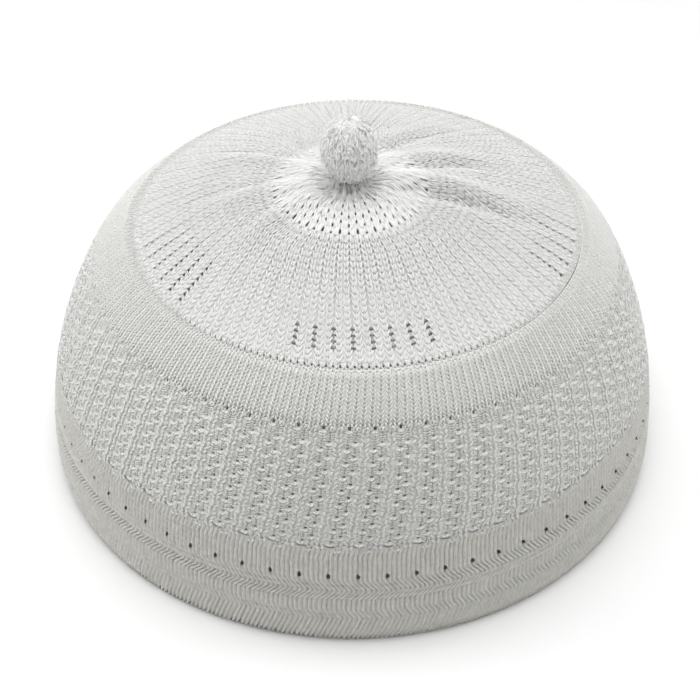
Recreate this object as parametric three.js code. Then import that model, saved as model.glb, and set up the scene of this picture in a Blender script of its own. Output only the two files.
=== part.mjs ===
// A knitted kufi: a round skull cap of white elastic knit, standing on its bottom edge.
// Millimetres, +Z up, origin at the centre of the bottom edge on the ground, front towards -Y.
// The cap is a crown disc gathered to a knitted button, a tapering side band, and a thicker hem band.
import * as THREE from "three";

// Side of the cap
const bodyRadius = 90; // widest outer radius, low on the hem band
const hemBandHeight = 33; // ground to the top of the hem band
const hemWall = 2.6; // racked knit of the hem band
const hemEdgeRounding = 0.6; // softening of the bottom edge
const wall = 2; // plain and openwork knit of the side band and crown
const ridgeRadius = 64.9; // middle of the pressed ridge where side and crown meet
const ridgeHeight = 73.4; // ground to the cloth at the ridge
const ridgeWidth = 2.2; // across the raised ridge
const ridgeRelief = 0.5; // ridge above the cloth round it

// Crown
const domeRise = 13.6; // cloth at the crown's centre above the ridge
const crownLean = 1.4; // the soft crown sits this far to the side
const gatherCount = 24; // small pleats drawn in under the button
const gatherDepth = 0.55;
const gatherReach = 17; // radius at which the pleats have died out
const neckRadius = 4.4; // tied stump that carries the button
const neckHeight = 1.6;
const neckSections = [
  { reach: 1.15, rise: 0.0 },
  { reach: 1.0, rise: 0.6 },
  { reach: 0.85, rise: 1.0 },
]; // reach as a share of neckRadius, rise as a share of neckHeight

// Knitted button
const buttonDiameter = 15.8;
const buttonHeight = 18.8;
const buttonRibCount = 14; // knitted columns round the ball
const buttonRibDepth = 0.35;
const buttonDrift = -0.8; // the gathers pull the button this far to the side

// Fits and fineness
const pieceGap = 0.3; // clearance between neighbouring pieces
const sideSteps = 72; // facets round the bands
const crownSteps = 96; // facets round the crown, four to a gather
const buttonSteps = 42; // facets round the button, three to a rib
const buttonRings = 12; // facets from the button's foot to its top

// Hem band, as shares of its height and of bodyRadius
const hemSections = [
  { rise: 0.07, reach: 0.991 },
  { rise: 0.19, reach: 1.0 },
  { rise: 0.45, reach: 0.995 },
  { rise: 0.74, reach: 0.981 },
  { rise: 1.0, reach: 0.965 },
];
const hemEdgeReach = 0.985; // bottom edge, drawn in a little

// Pressed ridge, from its outer foot to its inner foot. Out as a share of ridgeWidth from its middle,
// up as a share of ridgeRelief.
const ridgeSections = [
  { out: 0.75, up: -2.6 },
  { out: 0.3, up: 0.7 },
  { out: -0.2, up: 1.45 },
];

// Side band: rise from the hem band to the ridge, reach from the ridge out to the hem band's top
const sideSections = [
  { rise: 0.0, reach: 1.0 },
  { rise: 0.2, reach: 0.903 },
  { rise: 0.38, reach: 0.785 },
  { rise: 0.55, reach: 0.652 },
  { rise: 0.7, reach: 0.512 },
  { rise: 0.82, reach: 0.362 },
  { rise: 0.92, reach: 0.185 },
];

// Crown rings from the tied neck to the ridge, as shares of the way between them
const crownRings = [0.02, 0.05, 0.09, 0.14, 0.2, 0.27, 0.35, 0.45, 0.56, 0.68, 0.8, 0.91, 1.0];

// Soft folds that run out from the button. Azimuths in degrees from +X, begin and end as shares
// of ridgeRadius, height as a share of domeRise, width as a share of ridgeRadius.
const crownFolds = [
  { nearAzimuth: 4, farAzimuth: -8, begin: 0.14, end: 0.84, height: 0.19, width: 0.07 },
  { nearAzimuth: 46, farAzimuth: 23, begin: 0.16, end: 0.74, height: 0.12, width: 0.06 },
  { nearAzimuth: 76, farAzimuth: 53, begin: 0.2, end: 0.78, height: 0.09, width: 0.06 },
  { nearAzimuth: 112, farAzimuth: 104, begin: 0.16, end: 0.62, height: 0.07, width: 0.07 },
  { nearAzimuth: 134, farAzimuth: 148, begin: 0.18, end: 0.76, height: 0.1, width: 0.055 },
  { nearAzimuth: 161, farAzimuth: 184, begin: 0.14, end: 0.7, height: 0.08, width: 0.06 },
  { nearAzimuth: 184, farAzimuth: 215, begin: 0.12, end: 0.62, height: 0.1, width: 0.055 },
];

// Cross section of every fold, in its own widths: a soft roll beside a narrower, shallower valley
const foldRoll = { offset: 0.8, width: 1, height: 1 };
const foldValley = { offset: -0.45, width: 0.55, height: -0.7 };
const foldSkew = 0.8; // below 1 a fold is deepest nearer the button

const hemTopRadius = bodyRadius * hemSections[hemSections.length - 1].reach;
const hemEdgeRadius = bodyRadius * hemEdgeReach;
const neckTop = ridgeHeight + domeRise + neckHeight;

const knit = (color) => new THREE.MeshStandardMaterial({ color, roughness: 0.92, metalness: 0 });
const mix = THREE.MathUtils.lerp;
const ramp = THREE.MathUtils.smoothstep;

// A knit wall: the outer line, which runs upwards or inwards, and the same line one wall further in.
function wallProfile(outer, thickness) {
  const inner = outer.map((point, i) => {
    const before = outer[Math.max(i - 1, 0)];
    const after = outer[Math.min(i + 1, outer.length - 1)];
    const along = after.clone().sub(before).normalize();
    return new THREE.Vector2(point.x - thickness * along.y, point.y + thickness * along.x);
  });
  return { outer, inner };
}

// A profile of radius and height, turned about +Z.
function turned(profile, steps) {
  return new THREE.LatheGeometry(profile, steps).rotateX(Math.PI / 2);
}

// Moves every vertex by a rule of its azimuth, radius and height.
function reshape(geometry, rule) {
  const place = geometry.getAttribute("position");
  for (let i = 0; i < place.count; i += 1) {
    const [x, y, z] = [place.getX(i), place.getY(i), place.getZ(i)];
    const moved = rule(Math.atan2(y, x), Math.hypot(x, y), z);
    place.setXYZ(i, moved.x, moved.y, moved.z);
  }
  geometry.computeVertexNormals();
  return geometry;
}

const around = (azimuth, radius, z, shift) => ({
  x: radius * Math.cos(azimuth) + shift,
  y: radius * Math.sin(azimuth),
  z,
});

// Outer line of the dome at a radius.
const domeHeight = (radius) => ridgeHeight + domeRise * (1 - (radius / ridgeRadius) ** 2);

// The side leans more the higher it is, and the crown hands that lean over to the button's drift.
const sideLean = (z) => crownLean * (z / ridgeHeight) ** 2;
const crownDrift = (radius) => mix(buttonDrift, crownLean, (radius / ridgeRadius) ** 2);

// One fold: a soft roll with a sharper valley along its clockwise side.
function foldHeight(fold, azimuth, radius) {
  const share = radius / ridgeRadius;
  const along = (share - fold.begin) / (fold.end - fold.begin);
  if (along <= 0 || along >= 1) return 0;
  const heading = THREE.MathUtils.degToRad(mix(fold.nearAzimuth, fold.farAzimuth, Math.sqrt(along)));
  const turn = Math.atan2(Math.sin(azimuth - heading), Math.cos(azimuth - heading));
  const across = (turn * radius) / (fold.width * ridgeRadius);
  const swell = ({ offset, width, height }) => height * Math.exp(-(((across - offset) / width) ** 2));
  const fade = Math.sin(Math.PI * along ** foldSkew) ** foldSkew;
  return fold.height * domeRise * fade * (swell(foldRoll) + swell(foldValley));
}

// Folds and button gathers together, as a rise of the crown's cloth.
function crownRelief(azimuth, radius) {
  const folds = crownFolds.reduce((sum, fold) => sum + foldHeight(fold, azimuth, radius), 0);
  const fade = ramp(radius, neckRadius, neckRadius * 1.3) * (1 - ramp(radius, neckRadius * 1.6, gatherReach));
  return folds + gatherDepth * fade * Math.cos(gatherCount * azimuth);
}

function crown() {
  const edge = ridgeRadius - ridgeWidth / 2 - pieceGap;
  const neck = neckSections.map(
    ({ reach, rise }) => new THREE.Vector2(neckRadius * reach, neckTop - neckHeight * (1 - rise)),
  );
  const cloth = crownRings.map((share) => {
    const radius = mix(neck[0].x, edge, share);
    return new THREE.Vector2(radius, domeHeight(radius));
  });
  const { inner } = wallProfile([...cloth].reverse(), wall);
  const profile = [
    new THREE.Vector2(0, domeHeight(0) - wall),
    ...inner.reverse(),
    ...[...cloth].reverse(),
    ...neck.slice(1),
    new THREE.Vector2(0, neckTop),
  ];
  const rule = (azimuth, radius, z) =>
    around(azimuth, radius, z + crownRelief(azimuth, radius), crownDrift(radius));
  return new THREE.Mesh(reshape(turned(profile, crownSteps), rule), knit(0xe9eae7));
}

function sideBand() {
  const foot = hemBandHeight + pieceGap;
  const cloth = sideSections.map(
    ({ rise, reach }) =>
      new THREE.Vector2(mix(ridgeRadius, hemTopRadius, reach), mix(foot, ridgeHeight, rise)),
  );
  const ridge = ridgeSections.map(
    ({ out, up }) => new THREE.Vector2(ridgeRadius + ridgeWidth * out, ridgeHeight + ridgeRelief * up),
  );
  const { outer, inner } = wallProfile([...cloth, ridge[0]], wall);
  inner[0].set(hemTopRadius - wall, foot);
  const ridgeEdge = ridgeRadius - ridgeWidth / 2;
  const profile = [
    ...[...inner].reverse(),
    ...outer,
    ...ridge.slice(1),
    new THREE.Vector2(ridgeEdge, domeHeight(ridgeEdge)),
    new THREE.Vector2(ridgeEdge, domeHeight(ridgeEdge) - wall),
  ];
  profile.push(profile[0].clone());
  const rule = (azimuth, radius, z) => around(azimuth, radius, z, sideLean(z));
  return new THREE.Mesh(reshape(turned(profile, sideSteps), rule), knit(0xdfe0dc));
}

function hemBand() {
  const cloth = [
    new THREE.Vector2(hemEdgeRadius, hemEdgeRounding),
    ...hemSections.map(({ rise, reach }) => new THREE.Vector2(bodyRadius * reach, hemBandHeight * rise)),
  ];
  const { outer, inner } = wallProfile(cloth, hemWall);
  // The top edge is level and as thick as the side band above it, and the bottom edge is flat.
  inner[inner.length - 1].set(hemTopRadius - wall, hemBandHeight);
  inner[0].set(hemEdgeRadius - hemWall, hemEdgeRounding);
  const profile = [
    ...[...inner].reverse(),
    new THREE.Vector2(hemEdgeRadius - hemWall + hemEdgeRounding, 0),
    new THREE.Vector2(hemEdgeRadius - hemEdgeRounding, 0),
    ...outer,
  ];
  profile.push(profile[0].clone());
  const rule = (azimuth, radius, z) => around(azimuth, radius, z, sideLean(z));
  return new THREE.Mesh(reshape(turned(profile, sideSteps), rule), knit(0xd2d3ce));
}

// A ball a little taller than wide, flat where it sits on the neck, ribbed by its knitted columns.
function button() {
  const foot = neckTop + pieceGap;
  const sunk = Math.asin((neckRadius * neckSections[neckSections.length - 1].reach) / (buttonDiameter / 2));
  const profile = [new THREE.Vector2(0, foot)];
  const low = Math.cos(sunk);
  for (let ring = 0; ring <= buttonRings; ring += 1) {
    const turn = mix(sunk, Math.PI, ring / buttonRings);
    const height = (low - Math.cos(turn)) / (low + 1);
    profile.push(
      new THREE.Vector2(Math.max((buttonDiameter / 2) * Math.sin(turn), 0), foot + buttonHeight * height),
    );
  }
  profile[profile.length - 1].x = 0;
  const rule = (azimuth, radius, z) => {
    const fullness = Math.min(radius / (buttonDiameter / 2), 1) * ramp(z, foot, foot + buttonRibDepth);
    const ribbed = radius + buttonRibDepth * fullness * (Math.cos(buttonRibCount * azimuth) - 1);
    return around(azimuth, ribbed, z, buttonDrift);
  };
  return new THREE.Mesh(reshape(turned(profile, buttonSteps), rule), knit(0xe2e2de));
}

const kufi = new THREE.Group();
const pieces = { crown: crown(), side_band: sideBand(), hem_band: hemBand(), top_button: button() };
for (const [name, mesh] of Object.entries(pieces)) {
  mesh.name = name;
  kufi.add(mesh);
}

export default kufi;
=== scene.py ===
import math

import bmesh
import bpy
import numpy as np
from mathutils import Matrix, Vector


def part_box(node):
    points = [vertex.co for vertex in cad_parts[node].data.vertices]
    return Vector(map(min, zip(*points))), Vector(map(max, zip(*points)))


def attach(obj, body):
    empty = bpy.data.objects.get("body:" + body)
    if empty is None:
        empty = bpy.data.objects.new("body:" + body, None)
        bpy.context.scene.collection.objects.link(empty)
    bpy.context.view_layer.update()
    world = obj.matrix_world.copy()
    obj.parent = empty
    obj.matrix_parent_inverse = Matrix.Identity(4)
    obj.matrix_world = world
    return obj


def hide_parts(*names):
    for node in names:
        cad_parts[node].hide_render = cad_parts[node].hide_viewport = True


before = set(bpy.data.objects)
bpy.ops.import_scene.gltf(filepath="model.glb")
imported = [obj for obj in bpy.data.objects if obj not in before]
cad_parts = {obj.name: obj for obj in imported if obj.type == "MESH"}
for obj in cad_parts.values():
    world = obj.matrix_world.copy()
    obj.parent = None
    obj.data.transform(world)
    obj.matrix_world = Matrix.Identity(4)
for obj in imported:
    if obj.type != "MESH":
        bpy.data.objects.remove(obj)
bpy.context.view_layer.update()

MM = 0.001
REPEATS = 72  # pattern repeats round the cap, three knitted columns to each
REPEAT_TURN = 2 * math.pi / REPEATS
COLUMN_CENTRES = (1 / 6, 0.5, 5 / 6)  # of a repeat's three columns
FRONT = -math.pi / 2

# Form of the cloth, as on the frame
BODY_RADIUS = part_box("hem_band")[1].x
HEM_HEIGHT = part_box("hem_band")[1].z
RIDGE_RADIUS = 64.9 * MM
RIDGE_HEIGHT = 73.4 * MM
RIDGE_RELIEF = 0.35 * MM
RIDGE_SPREAD = 1.2 * MM
DOME_RISE = 13.6 * MM
CROWN_LEAN = 1.4 * MM
BUTTON_DRIFT = -0.8 * MM
GATHER_COUNT = 24
GATHER_DEPTH = 0.55 * MM
NECK_RADIUS = 4.4 * MM
GATHER_BEGIN = 1.3 * NECK_RADIUS
GATHER_FULL = 1.6 * NECK_RADIUS
GATHER_REACH = 17 * MM
NECK_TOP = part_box("top_button")[0].z
BUTTON_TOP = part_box("top_button")[1].z
BUTTON_RADIUS = 7.9 * MM
CROWN_EDGE = 62.9 * MM  # where the crown's stitches hand over to the ridge's
CLOTH_DEPTH = 0.45 * MM  # middle of the yarn below the frame's surface

# Side from the hem's bottom edge to the ridge: height and radius as shares of the named sizes
HEM_SECTIONS = [(0.0, 0.985), (0.07, 0.991), (0.19, 1.0), (0.45, 0.995), (0.74, 0.981), (1.0, 0.965)]
SIDE_SECTIONS = [(0.2, 0.903), (0.38, 0.785), (0.55, 0.652), (0.7, 0.512), (0.82, 0.362), (0.92, 0.185),
                 (1.0, 0.0)]

# Soft folds of the crown: azimuth at the button and at the far end in degrees, begin and end as
# shares of RIDGE_RADIUS, height as a share of DOME_RISE, width as a share of RIDGE_RADIUS
CROWN_FOLDS = [
    dict(near=4, far=-8, begin=0.14, end=0.84, height=0.19, width=0.07),
    dict(near=46, far=23, begin=0.16, end=0.74, height=0.12, width=0.06),
    dict(near=76, far=53, begin=0.2, end=0.78, height=0.09, width=0.06),
    dict(near=112, far=104, begin=0.16, end=0.62, height=0.07, width=0.07),
    dict(near=134, far=148, begin=0.18, end=0.76, height=0.1, width=0.055),
    dict(near=161, far=184, begin=0.14, end=0.7, height=0.08, width=0.06),
    dict(near=184, far=215, begin=0.12, end=0.62, height=0.1, width=0.055),
]
FOLD_ROLL = (0.8, 1.0, 1.0)  # offset, width and height as shares of the fold's own
FOLD_VALLEY = (-0.48, 0.44, -0.65)
FOLD_SKEW = 0.8  # below 1, a fold is fuller and highest nearer the button

# Crown courses, counted outwards from the tied neck. The spread is how much wider the columns lie in front
# than on average, by radius in millimetres
MESH_COURSES = 5
MESH_START = 5.25 * MM
MESH_PITCH = 3.4 * MM
MESH_STAGGER = 0.25  # how far a column of holes moves in or out, in courses; the next one moves the other way
MESH_WIDTHS = (0.34, 0.32, 0.31, 0.3, 0.28)  # of each mesh course's yarn, in repeats
FINE_COURSES = 21
SLIM_COURSES = 4  # fine courses next to the mesh, whose yarn is slimmer
SLIM_SHARE = 0.85
COLLAR_COURSES = 1.3  # how far the cloth runs on up the ball's foot, and its pull and rise for each course
COLLAR_PULL = 0.55 * MM
COLLAR_RISE = 2.1 * MM
FRONT_SPREAD = [(7, 0.78), (11, 0.75), (14, 0.57), (18, 0.38), (22, 0.3), (29, 0.3), (37, 0.16), (50, 0.06),
                (63, 0.0)]
YARN_WIDTH = 0.68 * MM
# Ladders with open holes: first and last repeat from the front, first and last of the fine courses, and
# where the holes begin and end across the ladder
LADDERS = ((-3, 4, 14, 17, -0.12, 0.12), (-15, -10, 11, 18, -0.12, 0.0), (13, 17, 14, 19, 0.0, 0.12),
           (-27, -17, 1, 11, -0.12, 0.0), (18, 27, 1, 8, 0.0, 0.12))

# Side courses
PLAIN_PITCH = 1.09 * MM
PLAIN_COURSES = 14
LATTICE_PERIODS = 9
CROWN_PHASE = math.radians(-0.55)  # where the first repeat starts, from the front
SIDE_PHASE = math.radians(-1.33)
HEM_PHASE = math.radians(0.8)
LATTICE_LEAN = (-0.25, -0.3)  # drift of the openwork's columns in repeats, from its top to the hem


def camera():
    """The photograph's view: from the front, 40.6 degrees down."""
    data = bpy.data.cameras.new("camera")
    data.lens = 81.8
    data.sensor_width = 36
    data.clip_start, data.clip_end = 0.01, 20
    eye = bpy.data.objects.new("camera", data)
    eye.location = (-0.55 * MM, -361.8 * MM, 336.2 * MM)
    eye.rotation_euler = (math.radians(90 - 40.58), 0, 0)
    bpy.context.scene.collection.objects.link(eye)
    bpy.context.scene.camera = eye


def soft_light(name, size, power, place, tint=(1, 1, 1), target=(0, 0, 0.04)):
    """A round soft lamp aimed at the cap."""
    data = bpy.data.lights.new(name, "AREA")
    data.shape = "DISK"
    data.size = size
    data.energy = power
    data.color = tint
    lamp = bpy.data.objects.new(name, data)
    lamp.location = place
    lamp.visible_camera = False
    lamp.rotation_euler = (Vector(place) - Vector(target)).to_track_quat("Z", "Y").to_euler()
    bpy.context.scene.collection.objects.link(lamp)
    return lamp


def studio():
    """A pale floor, soft lamps overhead, in front and at each side, and a glow in the cap's hollow."""
    scene = bpy.context.scene
    scene.view_settings.view_transform = "Standard"
    world = bpy.data.worlds.new("room")
    world.use_nodes = True
    backdrop = world.node_tree.nodes["Background"]
    backdrop.inputs["Color"].default_value = (0.95, 0.97, 1.0, 1)
    backdrop.inputs["Strength"].default_value = 0.04
    scene.world = world

    bm = bmesh.new()
    bmesh.ops.create_circle(bm, cap_ends=True, segments=96, radius=3.0)
    floor = finished(bm, "floor")
    paint = bpy.data.materials.new("floor_paint")
    paint.use_nodes = True
    shader = paint.node_tree.nodes["Principled BSDF"]
    shader.inputs["Base Color"].default_value = (0.97, 0.97, 0.97, 1)
    shader.inputs["Roughness"].default_value = 0.9
    floor.data.materials.append(paint)

    soft_light("overhead", size=1.1, power=9.6, place=(0.0, 0.12, 1.1))
    soft_light("left_softbox", size=0.9, power=4.7, place=(-1.1, 0.25, 0.55))
    soft_light("right_softbox", size=0.9, power=2.85, place=(1.1, 0.25, 0.55))
    soft_light("front_top", size=0.9, power=5.1, place=(0.0, -0.5, 1.2))
    # What the real knit lets through into its hollow
    soft_light("hollow_glow", size=0.12, power=0.003, place=(0.0, 0.0, 0.004), tint=(1.0, 0.86, 0.75))


def finished(bm, name):
    """A bmesh as an object of that name at the origin."""
    mesh = bpy.data.meshes.new(name)
    bm.to_mesh(mesh)
    bm.free()
    piece = bpy.data.objects.new(name, mesh)
    bpy.context.scene.collection.objects.link(piece)
    return piece


def smooth_line(points, per_span=10):
    """A Catmull-Rom line through the points."""
    points = np.array(points, float)
    ends = np.vstack([2 * points[0] - points[1], points, 2 * points[-1] - points[-2]])
    line = []
    for a, b, c, d in zip(ends, ends[1:], ends[2:], ends[3:]):
        for t in np.linspace(0, 1, per_span, endpoint=False):
            line.append(0.5 * (2 * b + (c - a) * t + (2 * a - 5 * b + 4 * c - d) * t**2
                               + (3 * b - a - 3 * c + d) * t**3))
    line.append(points[-1])
    return np.array(line)


def ramp(value, low, high):
    """A smooth step from 0 at low to 1 at high."""
    t = np.clip((value - low) / (high - low), 0, 1)
    return t * t * (3 - 2 * t)


def dome_height(radius):
    """Height of the crown's dome, without its folds."""
    return RIDGE_HEIGHT + DOME_RISE * (1 - (radius / RIDGE_RADIUS) ** 2)


def side_rows():
    """Radius and height of the cloth's sections from the ridge down to the bottom edge."""
    foot = BODY_RADIUS * HEM_SECTIONS[-1][1]
    rows = [(BODY_RADIUS * reach, HEM_HEIGHT * rise) for rise, reach in HEM_SECTIONS]
    rows += [(RIDGE_RADIUS + (foot - RIDGE_RADIUS) * reach, HEM_HEIGHT + (RIDGE_HEIGHT - HEM_HEIGHT) * rise)
             for rise, reach in SIDE_SECTIONS]
    return rows[::-1]


class Side:
    """The cloth's outer line by arc length, from the crown's edge over the ridge to the bottom edge."""

    below = smooth_line(side_rows())
    ridge_index = 8  # of the line's points, which begin a little way in on the crown
    inner_radii = np.linspace(CROWN_EDGE - 4 * MM, RIDGE_RADIUS, ridge_index + 1)[:-1]
    inside = [(radius, dome_height(radius)) for radius in inner_radii]
    line = np.vstack([inside, below])
    steps = np.linalg.norm(np.diff(line, axis=0), axis=1)
    arc = np.concatenate([[0], np.cumsum(steps)])
    arc = arc - np.interp(CROWN_EDGE, inner_radii, arc[:ridge_index])
    slope = np.gradient(line, arc, axis=0)
    ridge_arc = float(arc[ridge_index])

    @classmethod
    def at_height(cls, z):
        """Arc length where the side is at that height, below the ridge."""
        return float(np.interp(-z, -cls.line[:, 1], cls.arc))

    @classmethod
    def place(cls, turn, arc, lift):
        """Points of the side, by azimuth, arc length and lift off the yarn's middle."""
        radius = np.interp(arc, cls.arc, cls.line[:, 0])
        z = np.interp(arc, cls.arc, cls.line[:, 1])
        along_r = np.interp(arc, cls.arc, cls.slope[:, 0])
        along_z = np.interp(arc, cls.arc, cls.slope[:, 1])
        lift = lift - CLOTH_DEPTH + RIDGE_RELIEF * np.exp(-(((arc - cls.ridge_arc) / RIDGE_SPREAD) ** 2))
        radius = radius - lift * along_z
        lean = CROWN_LEAN * (z / RIDGE_HEIGHT) ** 2
        z = z + lift * along_r
        return np.stack([radius * np.cos(turn) + lean, radius * np.sin(turn), z], axis=1)


LATTICE_TOP = Side.at_height(64.1 * MM)
HEM_TOP = Side.at_height(HEM_HEIGHT)
LATTICE_PITCH = (HEM_TOP - LATTICE_TOP) / LATTICE_PERIODS


def side_place(turn, arc, lift):
    """The side's columns drift a little to one side on their way down, and more in the openwork."""
    down = np.clip((arc - LATTICE_TOP) / (HEM_TOP - LATTICE_TOP), 0, 1)
    above = (CROWN_PHASE - SIDE_PHASE) * (1 - np.clip(arc / LATTICE_TOP, 0, 1))
    drift = above + REPEAT_TURN * (LATTICE_LEAN[0] * down + LATTICE_LEAN[1] * down**2)
    return Side.place(turn + drift, arc, lift)


def fold_height(fold, turn, radius):
    """A soft roll with a sharper valley along its clockwise side."""
    along = np.clip((radius / RIDGE_RADIUS - fold["begin"]) / (fold["end"] - fold["begin"]), 0, 1)
    heading = np.radians(fold["near"] + (fold["far"] - fold["near"]) * np.sqrt(along))
    away = np.arctan2(np.sin(turn - heading), np.cos(turn - heading))
    across = away * radius / (fold["width"] * RIDGE_RADIUS)
    swell = sum(height * np.exp(-(((across - offset) / width) ** 2))
                for offset, width, height in (FOLD_ROLL, FOLD_VALLEY))
    fade = np.sin(np.pi * along**FOLD_SKEW) ** FOLD_SKEW
    return fold["height"] * DOME_RISE * fade * swell


def crown_relief(turn, radius):
    """Height of the folds and of the gathers round the neck."""
    folds = sum(fold_height(fold, turn, radius) for fold in CROWN_FOLDS)
    fade = ramp(radius, NECK_RADIUS, GATHER_BEGIN) * (1 - ramp(radius, GATHER_FULL, GATHER_REACH))
    return folds + GATHER_DEPTH * fade * np.cos(GATHER_COUNT * turn)


def crown_courses():
    """Radius of each course line of the crown, from the neck outwards."""
    radii = [MESH_START + MESH_PITCH * i for i in range(MESH_COURSES + 1)]
    pitches = np.linspace(1.15, 0.85, FINE_COURSES)
    pitches *= (CROWN_EDGE - radii[-1]) / pitches.sum()
    return np.concatenate([radii, radii[-1] + np.cumsum(pitches)])


CROWN_COURSES = crown_courses()


def crown_place(turn, course, lift):
    """Where a point of the crown's cloth lies, by azimuth at the edge and by course."""
    counts = np.arange(len(CROWN_COURSES))
    radius = np.interp(course, counts, CROWN_COURSES)
    above = np.clip(-course, 0, COLLAR_COURSES)
    radius = radius - COLLAR_PULL * above
    stagger = (1 - ramp(course, MESH_COURSES - 1, MESH_COURSES)) * ramp(course, 0.5, 1.5)
    sway = np.cos((turn - FRONT - CROWN_PHASE) * REPEATS / 2)
    radius = radius + MESH_STAGGER * MESH_PITCH * stagger * sway
    reach, spread = zip(*FRONT_SPREAD)
    turn = turn + np.interp(radius / MM, reach, spread) * np.sin(turn - FRONT)
    slope = 2 * DOME_RISE * radius / RIDGE_RADIUS**2
    tilt = 1 / np.sqrt(1 + slope**2)
    lift = lift - CLOTH_DEPTH
    z = dome_height(radius) + crown_relief(turn, radius) + lift * tilt + COLLAR_RISE * above
    share = (radius / RIDGE_RADIUS) ** 2
    shift = BUTTON_DRIFT + (CROWN_LEAN - BUTTON_DRIFT) * share
    radius = radius + lift * slope * tilt
    return np.stack([radius * np.cos(turn) + shift, radius * np.sin(turn), z], axis=1)


def wander(columns, rows, count, seed):
    """A smooth random field round the cap, sampled by repeat and row."""
    field = np.random.default_rng(seed).normal(size=(columns, rows))

    def sample(repeat, row, low, high):
        x = (repeat / count * columns) % columns
        y = np.clip((row - low) / (high - low), 0, 0.9999) * (rows - 1)
        i, j = x.astype(int) % columns, y.astype(int)
        s, t = x - np.floor(x), y - j
        k = (i + 1) % columns
        return ((1 - s) * (1 - t) * field[i, j] + s * (1 - t) * field[k, j]
                + (1 - s) * t * field[i, j + 1] + s * t * field[k, j + 1])

    return sample


def strand(bm, start, end, width, thick, lengthwise=True, rounds=1, bow=0):
    """One stretch of yarn between two points of the flat pattern: repeat, row and lift."""
    start, end = Vector(start), Vector(end)
    reach = (end - start) / 2
    across = Vector((width / 2, 0, 0)) if lengthwise else Vector((0, width / 2, 0))
    up = Vector((0, 0, thick / 2))
    if across.cross(up).dot(reach) < 0:
        across.negate()
    place = Matrix((across, up, reach)).transposed().to_4x4()
    place.translation = (start + end) / 2
    made = bmesh.ops.create_icosphere(bm, subdivisions=rounds, radius=1.0, matrix=place)
    home = place.inverted()
    for vert in made["verts"]:
        vert.co.x += bow * (1 - (home @ vert.co).z ** 2)


def repeated(bm, count):
    """Copies one repeat of the flat pattern side by side."""
    bmesh.ops.spin(bm, geom=bm.verts[:] + bm.edges[:] + bm.faces[:], cent=(0, 0, 0), axis=(0, 0, 1),
                   dvec=(1, 0, 0), angle=0, space=Matrix(), steps=count - 1, use_merge=False,
                   use_normal_flip=False, use_duplicate=True)


def laid(piece, place, first_turn, rough=(0, 0, 0), fields=(2, 2), seed=0, count=REPEATS):
    """Lays a flat pattern of repeat, row and lift round the cap, a little uneven as knitting is."""
    flat = np.empty(len(piece.data.vertices) * 3)
    piece.data.vertices.foreach_get("co", flat)
    repeat, row, lift = flat.reshape(-1, 3).T
    low, high = row.min(), row.max()
    sway = [wander(fields[0], fields[1], count, seed + i)(repeat, row, low, high) for i in range(3)]
    where = place(first_turn + (repeat + rough[0] * sway[0]) * 2 * math.pi / count,
                  row + rough[1] * sway[1], lift + rough[2] * sway[2])
    piece.data.vertices.foreach_set("co", where.ravel())
    piece.data.shade_smooth()
    piece.data.update()


def dressed(piece, node):
    """Puts a piece on the body in place of its solid."""
    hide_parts(node)
    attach(piece, "root")
    return piece


def vee(bm, centre, top, bottom, spread, width, thick, foot, rise, bows=(0, 0), rounds=1):
    """One stitch: two legs that open towards the button, its foot tucked under the stitch below."""
    for side, bow in zip((-1, 1), bows):
        strand(bm, (centre + side * foot, bottom, -rise), (centre + side * spread, top, rise), width, thick,
               rounds=rounds, bow=-side * bow)


def crown_stitches():
    """Long loose stitches round the neck, then two columns of small ones to a repeat, then three at the edge.

    Their legs meet over each gap of the ladder between two columns and leave a hole below."""
    bm = bmesh.new()
    last = MESH_COURSES + FINE_COURSES
    for course, width in enumerate(MESH_WIDTHS):
        vee(bm, 0.5, course - 0.34, course + 1.3, spread=0.52, width=width, thick=0.65 * MM, foot=0.1,
            rise=0.05 * MM, bows=(0.06, 0.06))
    for course in range(MESH_COURSES, last - 1):
        width = YARN_WIDTH * REPEATS / (2 * math.pi * CROWN_COURSES[course])
        width *= SLIM_SHARE if course < MESH_COURSES + SLIM_COURSES else 1
        for centre, bows in ((0.255, (0.06, 0.02)), (0.745, (0.02, 0.06))):
            vee(bm, centre, course - 0.16, course + 1.45, spread=0.26, width=width, thick=0.34 * MM,
                foot=0.035, rise=0.02 * MM, bows=bows)
    for centre in COLUMN_CENTRES:
        vee(bm, centre, last - 1.2, last + 0.45, spread=0.16, width=0.1, thick=0.45 * MM, foot=0.02,
            rise=0.03 * MM, bows=(0.02, 0.02))
    repeated(bm, REPEATS)
    piece = finished(bm, "crown_stitches")
    laid(piece, crown_place, FRONT + CROWN_PHASE, rough=(0.018, 0.07, 0.06 * MM),
         fields=(REPEATS * 6, last * 2), seed=11)
    return dressed(piece, "crown")


def plain_stitches():
    """Three columns to a repeat, drawn together at the bottom to leave the row of eyelets open."""
    bm = bmesh.new()
    for course in range(PLAIN_COURSES):
        top = course * PLAIN_PITCH
        thick = 0.5 * MM if course < 2 else 0.78 * MM
        for centre in COLUMN_CENTRES:
            vee(bm, centre, top - 0.1 * PLAIN_PITCH, top + 1.45 * PLAIN_PITCH, spread=0.13, width=0.1,
                thick=thick, foot=0.025, rise=0.14 * thick, bows=(0.01, 0.01))
    for centre in (0.22, 0.5, 0.78):
        top = LATTICE_TOP - 0.6 * MM
        vee(bm, centre, top, top + 1.5 * MM, spread=0.09, width=0.13, thick=0.7 * MM, foot=0.05,
            rise=0.05 * MM)
    repeated(bm, REPEATS)
    piece = finished(bm, "plain_stitches")
    laid(piece, side_place, FRONT + SIDE_PHASE, rough=(0.01, 0.07 * MM, 0.05 * MM),
         fields=(REPEATS * 6, 22), seed=23)
    return dressed(piece, "side_band")


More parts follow.
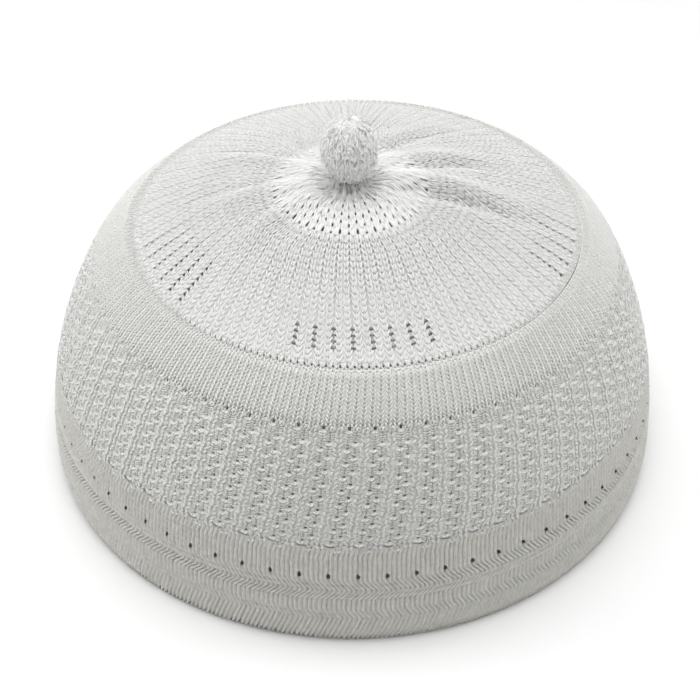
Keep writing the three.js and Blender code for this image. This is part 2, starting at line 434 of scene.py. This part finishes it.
PITS = ((0.0, 1.43), (0.28, 0.98))  # offset in the repeat and phase in the period of the two columns of holes
WAVY_COLUMN = 0.63
WAVE = 0.07
# Where loops float across, as shares of the way down to a hole from the one above, and over the first holes
LOOP_STEPS = (0.44, 0.6, 0.76)
FIRST_STEPS = (-0.12, 0.06, 0.24, 0.42, 0.6, 0.76)


def wavy_column(bm, start):
    """A raised column of stitches that sways once in each period."""
    for third in range(3):
        row = start + third * LATTICE_PITCH / 3
        upper = WAVE * math.cos(2 * math.pi * third / 3)
        lower = WAVE * math.cos(2 * math.pi * (third + 1.2) / 3)
        for side in (-1, 1):
            foot = (WAVY_COLUMN + lower + side * 0.06, row + 0.42 * LATTICE_PITCH, 0.0)
            head = (WAVY_COLUMN + upper + side * 0.13, row - 0.06 * LATTICE_PITCH, 0.04 * MM)
            strand(bm, foot, head, width=0.14, thick=0.45 * MM)


def cup(bm, offset, pit, steps):
    """Floating loops that step down to a hole, with a lip of yarn below it."""
    for step in steps:
        row = pit - (1 - step) * LATTICE_PITCH
        lift = 0.04 * MM - 0.24 * MM * step
        for side in (-1, 1):
            strand(bm, (offset + side * 0.19, row - 0.08 * LATTICE_PITCH, lift),
                   (offset - side * 0.02, row + 0.05 * LATTICE_PITCH, lift - 0.03 * MM), width=0.62 * MM,
                   thick=0.36 * MM, lengthwise=False)
    strand(bm, (offset - 0.03, pit + 0.36 * LATTICE_PITCH, 0.0),
           (offset + 0.1, pit + 0.06 * LATTICE_PITCH, 0.06 * MM), width=0.13, thick=0.48 * MM)
    strand(bm, (offset - 0.02, pit + 0.34 * LATTICE_PITCH, 0.0),
           (offset - 0.12, pit + 0.08 * LATTICE_PITCH, 0.04 * MM), width=0.12, thick=0.45 * MM)


def lattice(name, periods):
    """The openwork's raised columns and holes over some of its periods."""
    bm = bmesh.new()
    for period in periods:
        start = LATTICE_TOP + period * LATTICE_PITCH
        wavy_column(bm, start)
        for offset, phase in PITS:
            if period + phase < LATTICE_PERIODS:
                steps = [step for step in (LOOP_STEPS if period else FIRST_STEPS) if step + phase > 1.05]
                cup(bm, offset, start + phase * LATTICE_PITCH, steps)
    repeated(bm, REPEATS)
    piece = finished(bm, name)
    laid(piece, side_place, FRONT + SIDE_PHASE, rough=(0.014, 0.1 * MM, 0.07 * MM),
         fields=(REPEATS * 6, 30), seed=37)
    return dressed(piece, "side_band")


def upper_lattice():
    return lattice("upper_lattice", range(0, 4))


def lower_lattice():
    return lattice("lower_lattice", range(4, LATTICE_PERIODS))


# Racking of the hem's lines: height above the ground in millimetres and sideways shift in repeats
HEM_RACKING = [(0, -0.22), (9.6, 0.2), (12.6, -0.04), (16.6, -0.02), (19.4, 0.36), (22.8, 0.0), (30.6, 0.0),
               (33, 0.08)]
HEM_EYELET_HEIGHT = 24.1 * MM
HEM_ROWS = 44
HEM_COLUMNS = 24
HEM_SCALLOP = 0.35 * MM
HEM_LINE = (0.24, 0.26)  # middle and half width of a fine line, in columns from the column's middle
HEM_BEAD = 0.35  # share that every other row is lower by
HEM_RELIEF = 1.1 * MM
HEM_SINK = 0.51 * MM
HEM_CURL = 0.6 * MM
HEM_DEPTH = 0.15 * MM  # of the whole sheet below the yarn of the side


def hem_place(turn, arc, lift):
    """The hem's lines zigzag, because its stitches lean one way and then the other."""
    heights, shifts = zip(*HEM_RACKING)
    z = np.interp(arc, Side.arc, Side.line[:, 1]) / MM
    return Side.place(turn + np.interp(z, heights, shifts) * REPEAT_TURN, arc, lift)


def hem_stitches():
    """A dense sheet of knit in fine lines, two to each column, curled in under the bottom edge."""
    bm = bmesh.new()
    bottom = Side.at_height(0.0)
    bmesh.ops.create_grid(bm, x_segments=HEM_COLUMNS, y_segments=HEM_ROWS, size=0.5)
    pitch = (bottom - HEM_TOP) / (HEM_ROWS - 4)
    eyelet = round((Side.at_height(HEM_EYELET_HEIGHT) - HEM_TOP) / pitch + 0.5)
    dots = {(-1, eyelet), (0, eyelet), (1, eyelet), (-1, eyelet + 1), (0, eyelet + 1), (4, eyelet + 3)}
    open_faces = []
    for face in bm.faces:
        centre = face.calc_center_median()
        column, row = int((centre.x + 0.5) * HEM_COLUMNS), int((centre.y + 0.5) * HEM_ROWS)
        if (column, row) in dots or (column - HEM_COLUMNS, row) in dots:
            open_faces.append(face)
    bmesh.ops.delete(bm, geom=open_faces, context="FACES")
    for vert in bm.verts:
        offset = vert.co.x + 0.5
        row = round((vert.co.y + 0.5) * HEM_ROWS)
        across = abs((offset * 3) % 1 - 0.5)
        ridge = 1 - ((across - HEM_LINE[0]) / HEM_LINE[1]) ** 2
        under = max(row - (HEM_ROWS - 3), 0)
        bead = 1 - HEM_BEAD * (row % 2)
        lift = (HEM_RELIEF * ridge * bead - HEM_SINK) * ramp(row, -1, 4) - HEM_CURL * under - HEM_DEPTH
        scallop = HEM_SCALLOP * math.cos(2 * math.pi * offset) * (1 - ramp(row, 0, 6))
        vert.co = (offset, min(HEM_TOP + (row - 1) * pitch + scallop, bottom), lift)
    repeated(bm, REPEATS)
    bmesh.ops.remove_doubles(bm, verts=bm.verts[:], dist=0.001 * MM)
    piece = finished(bm, "hem_stitches")
    laid(piece, hem_place, FRONT + HEM_PHASE, rough=(0.012, 0.1 * MM, 0.07 * MM),
         fields=(REPEATS * 6, 40), seed=53)
    return dressed(piece, "hem_band")


def backing(name, place, rows, columns, holes, depth, thickness, first_turn, node, sunk=(),
            sunk_rows=(0, 0), ladders=()):
    """The back loops of the knit: a sheet under the stitches, open where the knit is open.

    Columns are shares of a repeat and rows run outwards; holes are pairs of column and row numbers. Some
    columns are sunk over a span of rows. Ladders are open over a span of repeats and of rows."""
    bm = bmesh.new()
    across, down = len(columns) - 1, len(rows) - 1
    bmesh.ops.create_grid(bm, x_segments=across, y_segments=down, size=0.5)
    bm.verts.ensure_lookup_table()
    cells = {}
    for face in bm.faces:
        centre = face.calc_center_median()
        cells[int((centre.x + 0.5) * across), int((centre.y + 0.5) * down)] = face
    gone = [cells[cell] for cell in holes]
    for vert in bm.verts:
        column = round((vert.co.x + 0.5) * across)
        row = round((vert.co.y + 0.5) * down)
        below = dict(sunk).get(column, 0) if sunk_rows[0] < rows[row] < sunk_rows[1] else 0
        vert.co = (columns[column], rows[row], depth - below)
    bmesh.ops.delete(bm, geom=gone, context="FACES")
    repeated(bm, REPEATS)
    gone = []
    for face in bm.faces:
        centre = face.calc_center_median()
        repeat = round(centre.x)
        from_front = (repeat + REPEATS // 2) % REPEATS - REPEATS // 2
        if any(first <= from_front <= last and top < centre.y < low and left < centre.x - repeat < right
               for first, last, top, low, left, right in ladders):
            gone.append(face)
    bmesh.ops.delete(bm, geom=gone, context="FACES")
    piece = finished(bm, name)
    laid(piece, place, first_turn)
    closed = bmesh.new()
    closed.from_mesh(piece.data)
    bmesh.ops.remove_doubles(closed, verts=closed.verts[:], dist=0.01 * MM)
    bmesh.ops.recalc_face_normals(closed, faces=closed.faces[:])
    closed.faces.ensure_lookup_table()
    if closed.faces[0].normal.dot(closed.faces[0].calc_center_median()) < 0:
        bmesh.ops.reverse_faces(closed, faces=closed.faces[:])
    closed.to_mesh(piece.data)
    closed.free()
    wall = piece.modifiers.new("wall", "SOLIDIFY")
    wall.thickness = thickness
    wall.offset = -1
    return dressed(piece, node)


def crown_backing():
    """Open between the long stitches round the neck, then sunk along each ladder and open at some."""
    rows, holes = [-0.6], []
    for course in range(MESH_COURSES):
        rows += [course + 0.05, course + 0.35, course + 0.8]
        holes += [(1, 3 * course + 2), (2, 3 * course + 2)]
    last = MESH_COURSES + FINE_COURSES - 1
    for course in range(MESH_COURSES, last):
        rows += [course + 0.4, course + 0.8]
    rows.append(last)
    ladders = [(first, final, MESH_COURSES + course + 0.3, MESH_COURSES + course + 0.9, left, right)
               for first, final, top, low, left, right in LADDERS for course in range(top, low + 1)]
    sunk = {1: 0.3 * MM, 2: 1.5 * MM, 3: 0.3 * MM, 5: 0.2 * MM}
    sunk_rows = (MESH_COURSES + 0.1, last - 0.1)
    columns = [-0.25, -0.12, 0.0, 0.12, 0.25, 0.5, 0.75]
    return backing("crown_backing", crown_place, rows, columns, holes, depth=0.05 * MM, thickness=0.7 * MM,
                   first_turn=FRONT + CROWN_PHASE, node="crown", sunk=sunk,
                   sunk_rows=sunk_rows, ladders=ladders)


# A repeat in three columns, with a hole between each two
THIRDS = [-0.045, 0.045, 0.288, 0.378, 0.622, 0.712, 0.955]
RING_OF_HOLES = [(0, 1), (2, 1), (4, 1)]


def rim_backing():
    """The crown's last course, with a ring of small holes."""
    last = MESH_COURSES + FINE_COURSES
    rows = [last - 1, last - 0.58, last - 0.1, last + 0.1]
    return backing("rim_backing", crown_place, rows, THIRDS, RING_OF_HOLES, depth=-0.12 * MM,
                   thickness=0.7 * MM, first_turn=FRONT + CROWN_PHASE, node="crown")


def plain_backing():
    """The plain band, with a second ring of small holes above the ridge."""
    rows = [0.1 * MM, 0.6 * MM, 1.0 * MM, 1.6 * MM] + list(np.linspace(3 * MM, LATTICE_TOP - 0.4 * MM, 7))
    return backing("plain_backing", side_place, rows, THIRDS, RING_OF_HOLES, depth=-0.33 * MM,
                   thickness=0.8 * MM, first_turn=FRONT + SIDE_PHASE, node="side_band")


def side_backing():
    """The openwork, with the row of eyelets and then a hole for each cup, taller further down."""
    rows = [LATTICE_TOP - 0.5 * MM, LATTICE_TOP + 0.6 * MM]
    holes = [(1, 0)]
    spots = sorted((period + phase, 1 if offset == 0 else 3)
                   for period in range(LATTICE_PERIODS) for offset, phase in PITS
                   if period + phase < LATTICE_PERIODS - 0.2)
    for spot, column in spots:
        half = 0.05 + 0.04 * min(spot / 5, 1)
        rows += [LATTICE_TOP + (spot - half) * LATTICE_PITCH, LATTICE_TOP + (spot + half) * LATTICE_PITCH]
        holes.append((column, len(rows) - 2))
    rows.append(HEM_TOP)
    columns = [-0.37, -0.055, 0.055, 0.225, 0.335, 0.63]
    return backing("side_backing", side_place, rows, columns, holes, depth=-0.3 * MM, thickness=0.9 * MM,
                   first_turn=FRONT + SIDE_PHASE, node="side_band")


def hem_backing():
    """The hem, with its row of eyelets."""
    bottom = Side.at_height(0.0)
    eyelet = Side.at_height(HEM_EYELET_HEIGHT)
    rows = list(np.linspace(HEM_TOP, eyelet - 1.0 * MM, 4))
    rows += list(np.linspace(eyelet + 1.4 * MM, bottom, 6))
    return backing("hem_backing", hem_place, rows, columns=[-0.17, 0.17, 0.5, 0.83], holes=[(0, 3)],
                   depth=-0.7 * MM, thickness=0.9 * MM, first_turn=FRONT + HEM_PHASE,
                   node="hem_band")


BALL_RIBS = 18
BALL_FIBRES = 600
NECK_STRANDS = 24
BALL_FOOT = 0.49  # half angle that the neck takes from the ball's lower end, in radians
BALL_HALF = (BUTTON_TOP - NECK_TOP) / (1 + math.cos(BALL_FOOT))  # half of the ball's full height
BALL_COURSES = (0.1, 0.7, 1.02, 1.3, 1.56, 1.8, 2.04, 2.28, 2.52, 2.75)  # angles from the top
CORE_DEPTH = 0.5 * MM  # of the stuffing below the outline


def ball_place(turn, fall, lift):
    """A point of the ball by its azimuth and by its angle from the top."""
    across = (BUTTON_RADIUS - CLOTH_DEPTH + lift) * np.sin(fall)
    z = BUTTON_TOP - BALL_HALF + (BALL_HALF - CLOTH_DEPTH + lift) * np.cos(fall)
    return np.stack([across * np.cos(turn) + BUTTON_DRIFT, across * np.sin(turn), z], axis=1)


def ball_stitches():
    """Long, loose stitches that run together at the ball's top."""
    bm = bmesh.new()
    for top, low in zip(BALL_COURSES, BALL_COURSES[1:]):
        vee(bm, 0.5, top - 0.14, low + 0.14, spread=0.4, width=0.36, thick=0.7 * MM, foot=0.12,
            rise=0.08 * MM, rounds=2)
    repeated(bm, BALL_RIBS)
    piece = finished(bm, "ball_stitches")
    laid(piece, ball_place, FRONT, rough=(0.2, 0.08, 0.14 * MM), fields=(BALL_RIBS * 3, 24), seed=71,
         count=BALL_RIBS)
    return dressed(piece, "top_button")


def ball_fuzz():
    """Loose fibres that stand off the ball."""
    bm = bmesh.new()
    spots = np.random.default_rng(97)
    for _ in range(BALL_FIBRES):
        turn, fall = spots.uniform(0, 1), math.acos(spots.uniform(-0.8, 0.98))
        lean = spots.normal(scale=0.02, size=2)
        tip = (turn + lean[0] / math.sin(fall), fall + 0.1 + 4 * lean[1], 1.0 * MM)
        strand(bm, (turn, fall, 0.3 * MM), tip, width=0.008 / math.sin(fall), thick=0.07 * MM)
    piece = finished(bm, "ball_fuzz")
    laid(piece, ball_place, FRONT, count=1)
    return dressed(piece, "top_button")


def ball_core():
    """The stuffing that shows between the ball's stitches."""
    bm = bmesh.new()
    bmesh.ops.create_uvsphere(bm, u_segments=42, v_segments=24, radius=1.0)
    size = Vector((BUTTON_RADIUS - CORE_DEPTH, BUTTON_RADIUS - CORE_DEPTH, BALL_HALF - CORE_DEPTH))
    bmesh.ops.scale(bm, vec=size, verts=bm.verts[:])
    bmesh.ops.translate(bm, vec=(BUTTON_DRIFT, 0, BUTTON_TOP - BALL_HALF), verts=bm.verts[:])
    piece = finished(bm, "ball_core")
    piece.data.shade_smooth()
    return dressed(piece, "top_button")


# Radius, and height above the neck's top, in millimetres
NECK_PROFILE = [(0, 0.4), (3.4, 0.4), (3.8, -1.0), (4.9, -2.0), (7.4, -2.7), (7.2, -3.4), (0, -3.4)]


def neck():
    """The tied neck under the ball, gathered in strands that run out over the crown."""
    bm = bmesh.new()
    verts = [bm.verts.new((radius * MM, 0, NECK_TOP + z * MM)) for radius, z in NECK_PROFILE]
    edges = [bm.edges.new(pair) for pair in zip(verts, verts[1:])]
    bmesh.ops.spin(bm, geom=verts + edges, cent=(0, 0, 0), axis=(0, 0, 1), angle=2 * math.pi, steps=48,
                   use_merge=True)
    bmesh.ops.remove_doubles(bm, verts=bm.verts[:], dist=0.01 * MM)
    bmesh.ops.recalc_face_normals(bm, faces=bm.faces[:])
    bmesh.ops.translate(bm, vec=(BUTTON_DRIFT, 0, 0), verts=bm.verts[:])
    piece = finished(bm, "neck")
    piece.data.shade_smooth()
    return dressed(piece, "crown")


def neck_gathers():
    """Strands that run from the ball's foot out over the crown."""
    bm = bmesh.new()
    strand(bm, (0.5, -1.25, 0.2 * MM), (0.5, 0.5, 0.0), width=0.75, thick=1.2 * MM, rounds=2)
    strand(bm, (0.0, -1.1, 0.1 * MM), (0.0, 0.75, -0.05 * MM), width=0.6, thick=0.9 * MM, rounds=2)
    repeated(bm, NECK_STRANDS)
    piece = finished(bm, "neck_gathers")
    laid(piece, crown_place, FRONT, rough=(0.12, 0.3, 0.15 * MM), fields=(NECK_STRANDS * 2, 4), seed=83,
         count=NECK_STRANDS)
    return dressed(piece, "crown")


def soft_yarn():
    """Uneven tone and loose fibres of cotton yarn."""
    group = bpy.data.node_groups.new("soft_yarn", "ShaderNodeTree")
    for name, kind, way in (
        ("Colour", "NodeSocketColor", "INPUT"), ("Unevenness", "NodeSocketFloat", "INPUT"),
        ("Colour", "NodeSocketColor", "OUTPUT"), ("Fibres", "NodeSocketFloat", "OUTPUT"),
    ):
        group.interface.new_socket(name=name, in_out=way, socket_type=kind)
    nodes, links = group.nodes, group.links
    inlet, outlet = nodes.new("NodeGroupInput"), nodes.new("NodeGroupOutput")
    place = nodes.new("ShaderNodeTexCoord")
    tone = nodes.new("ShaderNodeTexNoise")
    tone.inputs["Scale"].default_value = 700
    tone.inputs["Detail"].default_value = 2
    fibres = nodes.new("ShaderNodeTexNoise")
    fibres.inputs["Scale"].default_value = 2600
    fibres.inputs["Detail"].default_value = 3
    centred = nodes.new("ShaderNodeMath")
    centred.operation = "MULTIPLY_ADD"
    centred.inputs[1].default_value = 2
    centred.inputs[2].default_value = -1
    gain = nodes.new("ShaderNodeMath")
    gain.operation = "MULTIPLY_ADD"
    gain.inputs[2].default_value = 1
    shade = nodes.new("ShaderNodeVectorMath")
    shade.operation = "SCALE"
    for texture in (tone, fibres):
        links.new(place.outputs["Object"], texture.inputs["Vector"])
    links.new(tone.outputs["Fac"], centred.inputs[0])
    links.new(centred.outputs[0], gain.inputs[0])
    links.new(inlet.outputs["Unevenness"], gain.inputs[1])
    links.new(inlet.outputs["Colour"], shade.inputs[0])
    links.new(gain.outputs[0], shade.inputs["Scale"])
    links.new(shade.outputs[0], outlet.inputs["Colour"])
    links.new(fibres.outputs["Fac"], outlet.inputs["Fibres"])
    return group


def yarn(name, group, colour, unevenness, fuzz, sheen=0.2):
    """Matt off-white yarn."""
    material = bpy.data.materials.new(name)
    material.use_nodes = True
    nodes, links = material.node_tree.nodes, material.node_tree.links
    shader = nodes["Principled BSDF"]
    shader.inputs["Roughness"].default_value = 0.92
    shader.inputs["Specular IOR Level"].default_value = 0.25
    shader.inputs["Sheen Weight"].default_value = sheen
    shader.inputs["Sheen Roughness"].default_value = 0.6
    shader.inputs["Subsurface Weight"].default_value = 0.8
    shader.inputs["Subsurface Radius"].default_value = (1.0, 1.0, 1.0)
    shader.inputs["Subsurface Scale"].default_value = 0.9 * MM
    cotton = nodes.new("ShaderNodeGroup")
    cotton.node_tree = group
    cotton.inputs["Colour"].default_value = (*colour, 1)
    cotton.inputs["Unevenness"].default_value = unevenness
    bump = nodes.new("ShaderNodeBump")
    bump.inputs["Strength"].default_value = fuzz
    bump.inputs["Distance"].default_value = 0.15 * MM
    links.new(cotton.outputs["Colour"], shader.inputs["Base Color"])
    links.new(cotton.outputs["Fibres"], bump.inputs["Height"])
    links.new(bump.outputs["Normal"], shader.inputs["Normal"])
    return material


def ball_light(pieces):
    """A soft fill on the ball alone, for the light that a room's walls throw on its front."""
    lamp = soft_light("ball_fill", size=0.3, power=0.27, place=(0.0, -0.5, 0.33), target=(0, 0, 0.1))
    lit = bpy.data.collections.new("ball_fill_pieces")
    for piece in pieces:
        lit.objects.link(piece)
    lamp.light_linking.receiver_collection = lit


camera()
studio()
cotton_group = soft_yarn()
crown_yarn = yarn("crown_yarn", cotton_group, (0.88, 0.88, 0.86), unevenness=0.1, fuzz=0.5)
# The side band's copy of the one yarn, made darker and warmer than the crown's: painted shade of the
# front-facing band
side_yarn_painted_shade = yarn("side_yarn_painted_shade", cotton_group, (0.825, 0.822, 0.79), unevenness=0.12, fuzz=0.5)
# The hem's copy of the one yarn, made much darker than the crown's: painted shade of the hem's vertical wall
hem_yarn_painted_shade = yarn("hem_yarn_painted_shade", cotton_group, (0.7, 0.692, 0.647), unevenness=0.2, fuzz=0.9)
# The ball's copy of the one yarn, pushed to full white: painted light on the ball's shaded front
ball_yarn_painted_light = yarn("ball_yarn_painted_light", cotton_group, (1.0, 1.0, 0.985), unevenness=0.02, fuzz=0.4, sheen=0.5)
for maker, finish in (
    (crown_stitches, crown_yarn), (crown_backing, crown_yarn), (rim_backing, crown_yarn),
    (neck, crown_yarn), (neck_gathers, crown_yarn),
    (plain_stitches, side_yarn_painted_shade), (plain_backing, side_yarn_painted_shade),
    (upper_lattice, side_yarn_painted_shade), (lower_lattice, side_yarn_painted_shade), (side_backing, side_yarn_painted_shade),
    (hem_stitches, hem_yarn_painted_shade), (hem_backing, hem_yarn_painted_shade),
    (ball_stitches, ball_yarn_painted_light), (ball_fuzz, ball_yarn_painted_light), (ball_core, ball_yarn_painted_light),
):
    maker().data.materials.append(finish)
ball_light([bpy.data.objects[name] for name in ("ball_stitches", "ball_fuzz", "ball_core")])
